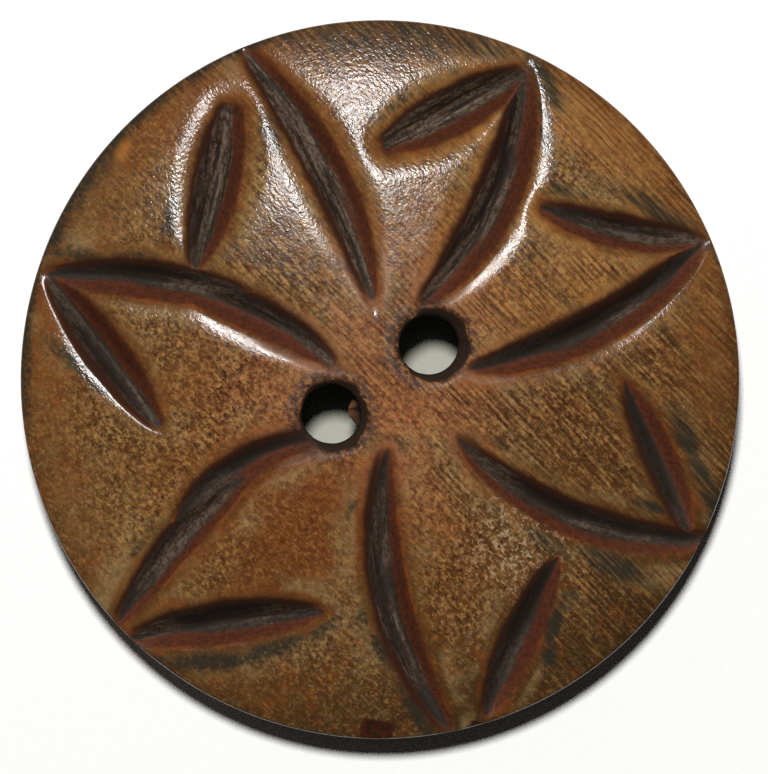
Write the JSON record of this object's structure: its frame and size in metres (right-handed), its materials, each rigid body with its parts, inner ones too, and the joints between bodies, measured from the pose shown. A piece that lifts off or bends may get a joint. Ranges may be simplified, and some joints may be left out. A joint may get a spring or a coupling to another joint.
{
  "type": "carved sew-through button",
  "caption": "Round domed sewing button carved with a pinwheel of bowed gouge cuts, with sewing holes through its middle and a flat, bevelled back.",
  "frame": {"origin": "middle of the flat back, where the button lies on the cloth", "axes": "+Z out of the carved face, X through both sewing holes"},
  "size_m": [0.03, 0.03, 0.0042],
  "materials": {
    "button": "burnished brown stain, darker in the carved cuts"
  },
  "bodies": {
    "root": {"button": "button"}
  },
  "joints": []
}
